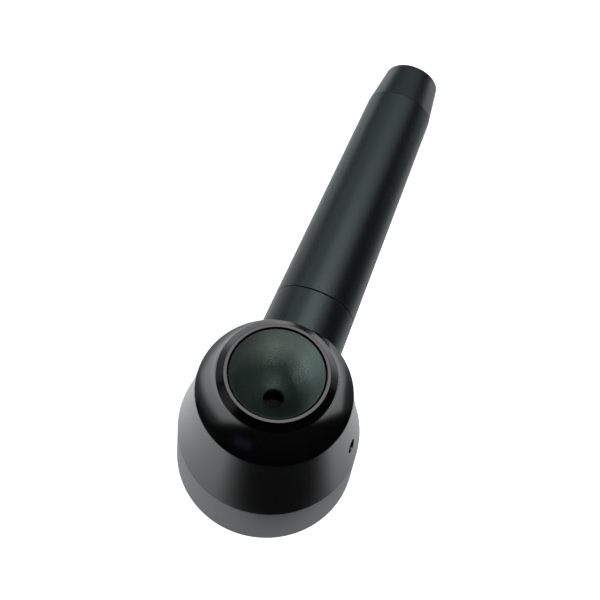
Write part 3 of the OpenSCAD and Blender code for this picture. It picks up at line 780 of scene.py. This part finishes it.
@dataclass
class Handle:
    """The handle: neck, barrel, tail cap and tail spring.

    Attributes are the sizes that the frame's boxes don't give, in millimetres, named as the head's are, and
    the number of the spring's turns.
    """

    seam_r: float = 15.8
    barrel_end_r: float = 13.3
    tail_end_r: float = 10.95
    seam_rounding: float = 0.3
    tail_seam_rounding: float = 0.08
    tail_rounding: float = 0.9
    neck_start: float = 26.5
    seam_y: float = 43.1
    wire_bore_r: float = 6.0
    neck_bore_r: float = 9.5
    journal_r: float = 12.4
    turn_fit: float = 0.05
    groove_w: float = 1.4
    groove_depth: float = 1.25
    snap_depth: float = 1.2
    snap_fit: float = 0.05
    snap_slot_fit: float = 0.15
    thread_r: float = 11.05
    thread_l: float = 13.5
    barrel_bore_r: float = 11.9
    barrel_wall: float = 1.8
    barrel_seat_l: float = 4.0
    face_gap: float = 0.12
    cap_bore_r: float = 9.0
    cap_spigot_l: float = 10.5
    spring_wire_r: float = 0.45
    spring_turns: int = 3

    def build(self, shop: Workshop, bell: Object) -> None:
        """Builds the pieces of the handle.

        Args:
            shop: the workshop that finishes them.
            bell: the bell that the neck is fitted to.
        """
        shop.hand_over(self._neck(bell), HANDLE_BLASTED, Body.HEAD, "neck_collar")
        shop.hand_over(self._barrel(), HANDLE_BLASTED, Body.HANDLE, "barrel")
        shop.hand_over(self._tail_cap(), HANDLE_BLASTED, Body.TAIL_CAP, "tail_cap")
        shop.hand_over(self._spring(), STEEL, Body.TAIL_CONTACT, "tail_spring")

    def _taper_r(self, along: float) -> float:
        """Gives the outside radius of the neck and barrel at a distance along the handle."""
        end = box_mm("barrel")[1].y
        return self.seam_r + (self.barrel_end_r - self.seam_r) * (along - self.seam_y) / (end - self.seam_y)

    def _neck(self, bell: Object) -> Object:
        """Turns the neck with the journal that the handle turns on, and fits its root to the bell.

        Args:
            bell: the bell that the root is cut to.

        Returns:
            The neck.
        """
        journal_end = box_mm("neck_collar")[1].y
        contact_y = box_mm("contact_carrier")[0].y
        seal_y, half_w = middle_mm("twist_seal").y, self.groove_w / 2
        snap_low, snap_high = box_mm("snap_ring")
        neck = TurnedPiece("neck_sleeve", [
            Station(self._taper_r(self.neck_start), self.neck_start),
            Station(self.seam_r, self.seam_y, self.seam_rounding),
            Station(self.journal_r, self.seam_y),
            *groove(self.journal_r, self.groove_depth, seal_y - half_w, seal_y + half_w),
            *groove(self.journal_r, self.snap_depth, snap_low.y - self.snap_fit,
                    snap_high.y + self.snap_fit),
            Station(self.journal_r, journal_end),
            Station(self.neck_bore_r, journal_end),
            Station(self.neck_bore_r, contact_y),
            Station(self.wire_bore_r, contact_y),
            Station(self.wire_bore_r, self.neck_start),
        ], Axis.HANDLE).build()
        cut_away(neck, bell, keep=True)
        return neck

    def _barrel(self) -> Object:
        """Turns the tapered barrel with its bores.

        Returns:
            The barrel.
        """
        low, high = box_mm("barrel")
        snap_low, snap_high = box_mm("snap_ring")
        bore_r = self.journal_r + self.turn_fit
        # The snap ring is open on its +X side
        slot_r = -snap_low.x + self.snap_slot_fit
        slot_low, slot_high = snap_low.y - self.snap_slot_fit, snap_high.y + self.snap_slot_fit
        sleeve_y = box_mm("cell_sleeve")[0].y
        thread_y = high.y - self.thread_l
        seats = sleeve_y + self.barrel_seat_l, thread_y - self.barrel_seat_l
        reliefs = [max(self._taper_r(y) - self.barrel_wall, self.barrel_bore_r + self.turn_fit)
                   for y in seats]
        return TurnedPiece("grip_barrel", [
            Station(bore_r, low.y),
            Station(self.seam_r, low.y, self.seam_rounding),
            Station(self.barrel_end_r, high.y, self.tail_seam_rounding),
            Station(self.thread_r, high.y),
            Station(self.thread_r, thread_y),
            Station(self.barrel_bore_r, thread_y),
            Station(self.barrel_bore_r, seats[1]),
            Station(reliefs[1], seats[1]),
            Station(reliefs[0], seats[0]),
            Station(self.barrel_bore_r, seats[0]),
            Station(self.barrel_bore_r, sleeve_y + self.face_gap),
            Station(bore_r, sleeve_y + self.face_gap),
            *groove(bore_r, bore_r - slot_r, slot_high, slot_low),
        ], Axis.HANDLE).build()

    def _tail_cap(self) -> Object:
        """Turns the tail cap with its screwed spigot and seal groove.

        Returns:
            The tail cap.
        """
        low, high = box_mm("tail_cap")
        face_y = box_mm("barrel")[1].y + self.face_gap
        floor_y = box_mm("tail_contact")[1].y + self.face_gap
        spigot_r = self.thread_r - self.turn_fit
        seal_y, half_w = middle_mm("tail_seal").y, self.groove_w / 2
        return TurnedPiece("tail_screw_cap", [
            Station(0, floor_y),
            Station(self.cap_bore_r, floor_y),
            Station(self.cap_bore_r, low.y, self.seam_rounding / 2),
            Station(spigot_r, low.y, self.seam_rounding),
            *groove(spigot_r, self.groove_depth, seal_y - half_w, seal_y + half_w),
            Station(spigot_r, face_y),
            Station(self.barrel_end_r, face_y, self.tail_seam_rounding),
            Station(self.tail_end_r, high.y, self.tail_rounding),
            Station(0, high.y),
        ], Axis.HANDLE, rounding_steps=6).build()

    def _spring(self) -> Object:
        """Winds the tail spring as one round wire with closed ends.

        Returns:
            The spring.
        """
        low, high = box_mm("tail_spring")
        mean_r = high.x - self.spring_wire_r
        rise = high.y - low.y - 2 * self.spring_wire_r
        deselect_all()
        bpy.ops.mesh.primitive_circle_add(vertices=16, radius=self.spring_wire_r * MM, fill_type="NGON",
                                          location=(mean_r * MM, 0, (low.y + self.spring_wire_r) * MM),
                                          rotation=(math.pi / 2, 0, 0))
        spring = take_new("tail_coil")
        keep_place(spring)
        apply_modifier(spring, "SCREW", angle=2 * math.pi, screw_offset=rise / self.spring_turns * MM,
                       iterations=self.spring_turns, steps=48, render_steps=48, use_merge_vertices=False)
        lay_on_handle(spring)
        face_outwards(spring)
        return spring


class Insides:
    """The pieces inside, which keep their CAD meshes: optics, lamps, wiring, switch, cells and seals."""

    FINISHES: dict[Finish, tuple[str, ...]] = {
        INNER_BLACK: ("lens_cell", "lens_retainer"),
        LENS_GLASS: ("eyepiece_lens",),
        MACHINED: ("optic_carrier",),
        LAMP_BOARD: ("lamp_board", "switch_track"),
        LAMP_RESIN: ("lamps",),
        STEEL: ("board_screws", "snap_ring", "tail_contact"),
        CONE_OPAL: ("ring_cone",),
        BAND_INK: ("ring_bands",),
        SEAL_RUBBER: ("base_seal", "twist_seal", "tail_seal"),
        WIRE_RED: ("feed_wire",),
        WIRE_BLACK: ("return_wire",),
        ACETAL: ("contact_carrier", "cell_sleeve"),
        BRASS: ("contact_pin", "wiper_ring"),
        CELL_FILM: ("cells",),
    }

    def dress(self, shop: Workshop) -> None:
        """Gives each piece its finish.

        Args:
            shop: the workshop that finishes them.
        """
        for finish, nodes in self.FINISHES.items():
            for node in nodes:
                shop.dress(node, finish)


@dataclass(frozen=True)
class PhotoCamera:
    """The camera at the photo's angle, worked out from the round edges of the head and the handle.

    Attributes:
        position: place of the camera, in millimetres.
        right: the image's way to the right.
        up: the image's way up.
        focal_px: focal length in pixels of the image.
        image_px: width and height of the image.
        sensor_mm: width of the sensor.
        clip: nearest and furthest distance that shows, in metres.
    """

    position: tuple[float, float, float] = (44.53, -184.19, 504.88)
    right: tuple[float, float, float] = (0.93056, 0.35816, 0.07604)
    up: tuple[float, float, float] = (-0.35248, 0.82010, 0.45077)
    focal_px: float = 1345.58
    image_px: int = 600
    sensor_mm: float = 36.0
    clip: tuple[float, float] = (0.01, 20.0)

    def build(self) -> None:
        """Makes the camera and gives it to the scene."""
        back = Vector(self.right).cross(Vector(self.up))
        axes = Matrix((self.right, self.up, back)).transposed()
        bpy.ops.object.camera_add()
        camera = bpy.context.object
        camera.matrix_world = Matrix.Translation(Vector(self.position) * MM) @ axes.to_4x4()
        camera.data.sensor_width = self.sensor_mm
        camera.data.lens = self.focal_px / self.image_px * self.sensor_mm
        camera.data.clip_start, camera.data.clip_end = self.clip
        bpy.context.scene.camera = camera


class Reach(Enum):
    """The kind of surface that a light shows on."""

    ALL = "all"
    SHINY = "shiny"


@dataclass(frozen=True)
class SoftLight:
    """A rectangular soft light.

    Attributes:
        name: name of the light.
        place: place of the light, in metres.
        aim: point that it faces, in metres.
        width: its width, in metres.
        height: its height, in metres.
        watts: its power.
        colour: its colour.
        reach: the kind of surface that it shows on.
        only_on: name of the one piece that it is flagged off to light, or empty.
    """

    name: str
    place: tuple[float, float, float]
    aim: tuple[float, float, float]
    width: float
    height: float
    watts: float
    colour: str = "#ffffff"
    reach: Reach = Reach.ALL
    only_on: str = ""

    def build(self) -> None:
        """Hangs the light and flags it off from what it shouldn't reach."""
        facing = (Vector(self.aim) - Vector(self.place)).to_track_quat("-Z", "Y")
        bpy.ops.object.light_add(type="AREA", location=self.place, rotation=facing.to_euler())
        light = take_new(self.name)
        light.data.shape = "RECTANGLE"
        light.data.size, light.data.size_y = self.width, self.height
        light.data.energy = self.watts
        light.data.color = linear(self.colour)[:3]
        light.visible_diffuse = self.reach is Reach.ALL
        if self.only_on:
            lit = bpy.data.collections.new(self.name)
            lit.objects.link(bpy.data.objects[self.only_on])
            light.light_linking.receiver_collection = lit


HEAD_MIDDLE = (0.0, 0.0, 0.06)
DISH_LIGHT_SIDE = 0.2

LIGHTS = (
    # The panel overhead gives the land round the cup its bright ring and the handle the crest of its sheen
    SoftLight("panel_above", (0.03, 0.325, 1.0), (0.03, 0.325, 0.0), 0.73, 0.6, watts=2.9),
    # The wide dim ceiling spreads that sheen over the handle's back and on to its tail
    SoftLight("wide_ceiling", (-0.38, 0.9, 1.02), (-0.38, 0.9, 0.0), 2.5, 1.7, watts=9.4),
    # A dim wall behind on the left greys the handle's left flank
    SoftLight("wall_behind", (-1.06, 0.36, 0.36), (0.0, 0.06, 0.05), 1.1, 0.8, watts=0.8),
    # A dim card before the head on the left greys the bevel there
    SoftLight("card_left", (-0.783, -0.47, 0.477), HEAD_MIDDLE, 0.55, 0.35, watts=0.2, reach=Reach.SHINY),
    # Another behind on the right greys the bevel on that side
    SoftLight("card_right", (0.707, 0.707, 0.13), HEAD_MIDDLE, 0.5, 0.25, watts=0.11, reach=Reach.SHINY,
              only_on="eyepiece_bezel"),
    # Four small lights before the head draw the patches of light in the dish
    *(SoftLight(name, place, HEAD_MIDDLE, DISH_LIGHT_SIDE, DISH_LIGHT_SIDE, watts, colour,
                only_on="eye_dish")
      for name, place, watts, colour in (
          ("dish_left", (-0.422, -0.380, 0.375), 16.5, "#ffffff"),
          ("dish_low_left", (-0.505, -0.367, 0.239), 8.5, "#ffffff"),
          ("dish_low_right", (0.297, -0.514, 0.324), 13.0, "#fff0ec"),
          ("dish_right", (0.163, -0.281, 0.623), 6.9, "#ffffff"),
      )),
    # A small blue card before the head shows in the front of the cove
    SoftLight("blue_card", (-0.055, -0.234, 0.03), (0.0, 0.0, 0.03), 0.085, 0.085, watts=0.0055,
              colour="#9698d2", reach=Reach.SHINY),
)


@dataclass(frozen=True)
class Step:
    """A soft step from clear to dark across the floor, for the painted shade.

    Attributes:
        way: direction across the step, from +X, in degrees.
        edge: where it is clear and where it is dark along that way, in metres.
    """

    way: float
    edge: tuple[float, float]

    def add(self, tree: NodeTree, place: Node, share: float = 1.0) -> NodeSocket:
        """Adds the step to a material.

        Args:
            tree: the material's nodes.
            place: the node that gives the coordinates.
            share: how dark it gets.

        Returns:
            The socket with the darkness, from 0 to the share.
        """
        direction = Vector((math.cos(math.radians(self.way)), math.sin(math.radians(self.way)), 0))
        along = add_node(tree, "ShaderNodeVectorMath", {"operation": "DOT_PRODUCT"}, {
            0: place.outputs["Object"], 1: direction})
        step = add_node(tree, "ShaderNodeMapRange", {"interpolation_type": "SMOOTHSTEP"}, {
            "Value": along.outputs["Value"], "From Min": self.edge[0], "From Max": self.edge[1],
            "To Max": share})
        return step.outputs["Result"]


@dataclass(frozen=True)
class Shade:
    """A soft-edged painted shade on the floor, which shows in shiny surfaces alone.

    Attributes:
        share: how dark it gets.
        steps: the steps that it lies on the dark side of.
    """

    share: float
    steps: tuple[Step, ...]

    def add(self, tree: NodeTree, place: Node) -> NodeSocket:
        """Adds the shade to a material.

        Args:
            tree: the material's nodes.
            place: the node that gives the coordinates.

        Returns:
            The socket with the darkness, from 0 to the share.
        """
        dark = self.steps[0].add(tree, place, self.share)
        for step in self.steps[1:]:
            both = add_node(tree, "ShaderNodeMath", {"operation": "MULTIPLY"}, {
                0: dark, 1: step.add(tree, place)})
            dark = both.outputs[0]
        return dark


SHADES = (
    # Painted dark in the reflections before the head, so that the front of the bell mirrors the dark
    Shade(1.0, (Step(-56.5, (0.016, 0.059)),)),
    # It fades out on the left
    Shade(0.85, (Step(-130.6, (0.09, 0.3)),)),
    # Painted shade of the handle lies beside it, deeper on the right
    Shade(0.9, (Step(0, (0.05, 0.12)), Step(90, (0.06, 0.1)), Step(130, (0.16, 0.08)))),
    Shade(0.5, (Step(180, (0.05, 0.1)), Step(90, (0.04, 0.09)), Step(90, (0.34, 0.24)))),
)
# Painted shade near the object is deeper on the handle's right side of this step
RIGHT_OF_HANDLE = Step(0, (-0.03, 0.03))


@dataclass(frozen=True)
class Studio:
    """A plain pale floor under soft lights, in a dim room, with painted shade that shiny surfaces mirror and
    a black disc painted as shadow under the mouth.

    Attributes:
        floor_side: side of the floor, in metres.
        floor_glow: strength of the light that comes through the table.
        glow_colour: colour of that light.
        room_colour: colour of the dim room that the object mirrors.
        backdrop_colour: colour that shows behind the floor.
        near_line: length of the line under the object that nearness is measured from, in metres.
        near_edge: distances over which the mirrored floor clears, away from that line, in metres.
        near_share: how dark the painted shade is near the line, on the left.
        near_right: how much darker it is on the right, as a share of that.
        shadow_disc_r: radius of the black disc under the mouth, a painted shadow, in metres.
        shadow_disc_lift: height of that disc over the floor, in metres.
        surround_lift: height of the dark surround over the floor, in metres.
        painted_shade_colour: colour of the dark surround, the painted shade that shiny surfaces mirror.
    """

    floor_side: float = 6.0
    floor_glow: float = 1.3
    glow_colour: str = "#f9fdff"
    room_colour: str = "#0c0c0d"
    backdrop_colour: str = "#ffffff"
    near_line: float = 0.16
    near_edge: tuple[float, float] = (0.07, 0.2)
    near_share: float = 0.4
    near_right: float = 0.38
    shadow_disc_r: float = 0.0265
    shadow_disc_lift: float = 0.0003
    surround_lift: float = 0.0004
    painted_shade_colour: str = "#020202"

    def build(self) -> None:
        """Builds the floor, the black disc of painted shadow, the dark surround of painted shade, the lights
        and the room.
        """
        self._floor()
        self._lay_painted_shadow()
        self._surround()
        for light in LIGHTS:
            light.build()
        self._room()
        bpy.context.scene.view_settings.view_transform = "Standard"

    def _floor(self) -> None:
        """Lays the floor under the object."""
        deselect_all()
        bpy.ops.mesh.primitive_plane_add(size=self.floor_side)
        floor = take_new("floor")
        material = WHITE_TABLE.build()
        shader = material.node_tree.nodes["Principled BSDF"]
        shader.inputs["Emission Color"].default_value = linear(self.glow_colour)
        shader.inputs["Emission Strength"].default_value = self.floor_glow
        floor.data.materials.append(material)

    def _lay_painted_shadow(self) -> None:
        """Lays a dull black disc under the head's mouth, a painted shadow, so that the peephole looks into
        the dark.
        """
        deselect_all()
        bpy.ops.mesh.primitive_circle_add(vertices=64, radius=self.shadow_disc_r, fill_type="NGON",
                                          location=(0, 0, self.shadow_disc_lift))
        shadow_disc = take_new("black_pad")
        shadow_disc.data.materials.append(PAINTED_SHADOW_BLACK.build())

    def _surround(self) -> None:
        """Lays a sheet on the floor that shows in shiny surfaces alone: painted shade near and beside the
        object and painted dark before the head, clear elsewhere.
        """
        deselect_all()
        bpy.ops.mesh.primitive_plane_add(size=self.floor_side, location=(0, 0, self.surround_lift))
        surround = take_new("dark_surround")
        keep_place(surround)
        surround.visible_camera = surround.visible_diffuse = surround.visible_shadow = False
        # The sheet's material is painted shade: black where it is dark, see-through elsewhere
        material = bpy.data.materials.new("painted_shade_in_reflections")
        material.use_nodes = True
        tree = material.node_tree
        place = add_node(tree, "ShaderNodeTexCoord")
        dark = self._nearness(tree, place)
        for shade in SHADES:
            darker = add_node(tree, "ShaderNodeMath", {"operation": "MAXIMUM"}, {
                0: dark, 1: shade.add(tree, place)})
            dark = darker.outputs[0]
        clear = add_node(tree, "ShaderNodeBsdfTransparent")
        painted_shade = add_node(tree, "ShaderNodeBsdfDiffuse", inputs={"Color": linear(self.painted_shade_colour)})
        mixed = add_node(tree, "ShaderNodeMixShader", inputs={
            0: dark, 1: clear.outputs[0], 2: painted_shade.outputs[0]})
        tree.links.new(mixed.outputs[0], tree.nodes["Material Output"].inputs["Surface"])
        surround.data.materials.append(material)

    def _nearness(self, tree: NodeTree, place: Node) -> NodeSocket:
        """Makes the painted shade of the mirrored floor along the line under the object, deeper on the
        right.

        Args:
            tree: the material's nodes.
            place: the node that gives the coordinates.

        Returns:
            The socket with the darkness, from the share down to 0.
        """
        split = add_node(tree, "ShaderNodeSeparateXYZ", inputs={0: place.outputs["Object"]})
        on_line = add_node(tree, "ShaderNodeClamp", inputs={
            "Value": split.outputs["Y"], "Max": self.near_line})
        past = add_node(tree, "ShaderNodeMath", {"operation": "SUBTRACT"}, {
            0: split.outputs["Y"], 1: on_line.outputs[0]})
        away = add_node(tree, "ShaderNodeCombineXYZ", inputs={"X": split.outputs["X"], "Y": past.outputs[0]})
        distance = add_node(tree, "ShaderNodeVectorMath", {"operation": "LENGTH"}, {0: away.outputs[0]})
        step = add_node(tree, "ShaderNodeMapRange", {"interpolation_type": "SMOOTHSTEP"}, {
            "Value": distance.outputs["Value"], "From Min": self.near_edge[0], "From Max": self.near_edge[1],
            "To Min": self.near_share, "To Max": 0.0})
        right = RIGHT_OF_HANDLE.add(tree, place, self.near_right)
        dark = add_node(tree, "ShaderNodeMath", {"operation": "MULTIPLY_ADD"}, {
            0: step.outputs["Result"], 1: right, 2: step.outputs["Result"]})
        return dark.outputs[0]

    def _room(self) -> None:
        """Makes the room dim for the object's reflections and pale behind the floor."""
        world = bpy.data.worlds.new("room")
        bpy.context.scene.world = world
        world.use_nodes = True
        tree = world.node_tree
        seen = add_node(tree, "ShaderNodeLightPath")
        colour = add_node(tree, "ShaderNodeMix", {"data_type": "RGBA"}, {
            0: seen.outputs["Is Camera Ray"], 6: linear(self.room_colour), 7: linear(self.backdrop_colour)})
        tree.links.new(colour.outputs[2], tree.nodes["Background"].inputs["Color"])


def main() -> None:
    """Builds the object, the studio and the camera."""
    logging.basicConfig(level=logging.INFO, format="%(name)s: %(message)s")
    shop = Workshop()
    bell = Head().build(shop)
    Handle().build(shop, bell)
    Insides().dress(shop)
    Studio().build()
    PhotoCamera().build()


if __name__ == "__main__":
    main()
